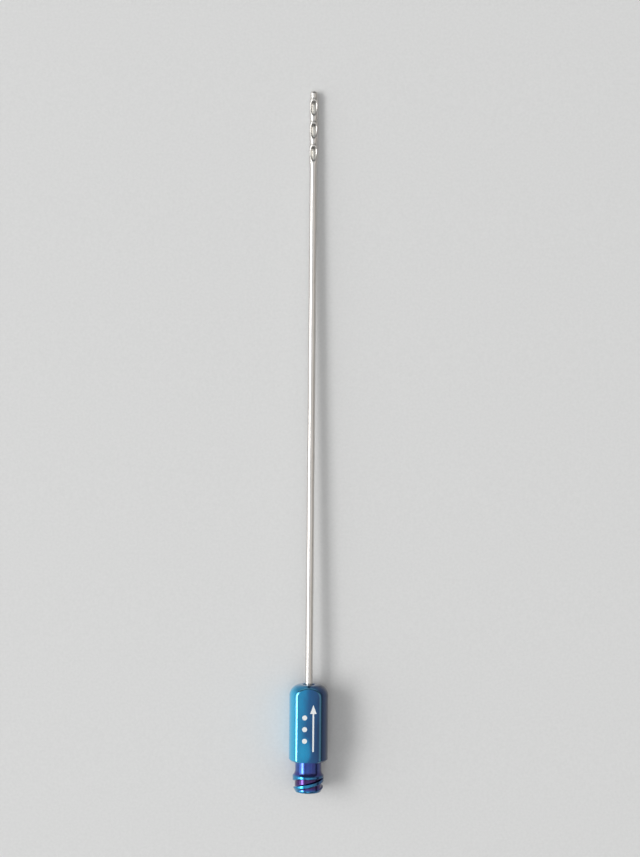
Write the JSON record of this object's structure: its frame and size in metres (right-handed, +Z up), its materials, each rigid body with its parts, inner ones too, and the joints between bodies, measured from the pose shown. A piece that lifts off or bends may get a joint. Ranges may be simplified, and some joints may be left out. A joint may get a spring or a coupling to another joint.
{
  "type": "liposuction cannula",
  "caption": "Slim blunt-tipped stainless suction tube with in-line oval ports along one side, in an anodised aluminium grip with two flats and a female luer lock at its rear",
  "frame": {"origin": "the centre of the luer socket's mouth, on the cannula's axis", "axes": "+Y runs along the axis to the tip, +Z points up through the ports and the marked flat, +X is to the right of that view"},
  "size_m": [0.0098, 0.1765, 0.008],
  "materials": {
    "grip_blue": "bright blue anodised aluminium, smooth, glossy",
    "connector_violet": "violet-blue anodised aluminium, smooth, glossy",
    "adhesive": "dark cured epoxy, smooth",
    "polished_steel": "polished stainless steel with fine grain along the tube"
  },
  "bodies": {
    "root": {"grip_body": "grip_blue", "luer_connector": "connector_violet", "nose_adhesive": "adhesive", "cannula_tube": "polished_steel", "tip_plug": "polished_steel"}
  },
  "joints": []
}
